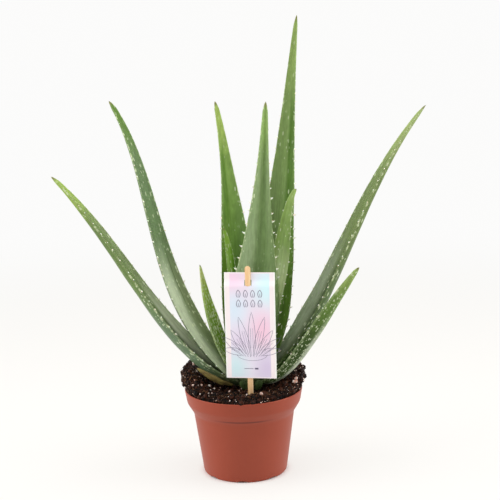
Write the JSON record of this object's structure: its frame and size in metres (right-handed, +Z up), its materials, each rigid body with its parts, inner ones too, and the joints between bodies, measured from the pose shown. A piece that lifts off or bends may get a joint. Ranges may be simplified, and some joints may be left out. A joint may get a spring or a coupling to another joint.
{
  "type": "potted aloe plant",
  "caption": "Young aloe with long toothed leaves in a red brown plastic nursery pot, with a printed card on a bamboo splint.",
  "frame": {"origin": "centre of the flat underside of the pot's floor, on the surface the pot stands on", "axes": "+Z up along the pot's axis, -Y towards the front where the card is, +X to the right as seen from the front"},
  "size_m": [0.374, 0.1224, 0.458],
  "materials": {
    "pot_plastic": "red brown moulded nursery plastic, satin, faint mould marks",
    "peat": null,
    "stem_bark": "pale brown leaf scars",
    "leaf_old": null,
    "leaf_green": null,
    "leaf_young": null,
    "dry_leaf": "yellow brown dried leaf base",
    "printed_card": "thin coated card, cream border, pastel print, no lettering",
    "bamboo": "split bamboo, unfinished"
  },
  "bodies": {
    "root": {"pot": "pot_plastic", "potting_soil": "peat", "stem": "stem_bark", "leaf_far_left": "leaf_old", "leaf_left": "leaf_old", "leaf_right": "leaf_old", "leaf_centre": "leaf_old", "leaf_tall": "leaf_green", "leaf_back_left": "leaf_green", "leaf_small_right": "leaf_green", "leaf_inner_right": "leaf_green", "leaf_small_left": "leaf_young", "leaf_inner_left": "leaf_young", "leaf_stub_left": "leaf_young", "leaf_stub_right": "leaf_young", "dry_leaf_base": "dry_leaf", "care_card": "printed_card", "bamboo_splint": "bamboo"}
  },
  "joints": []
}
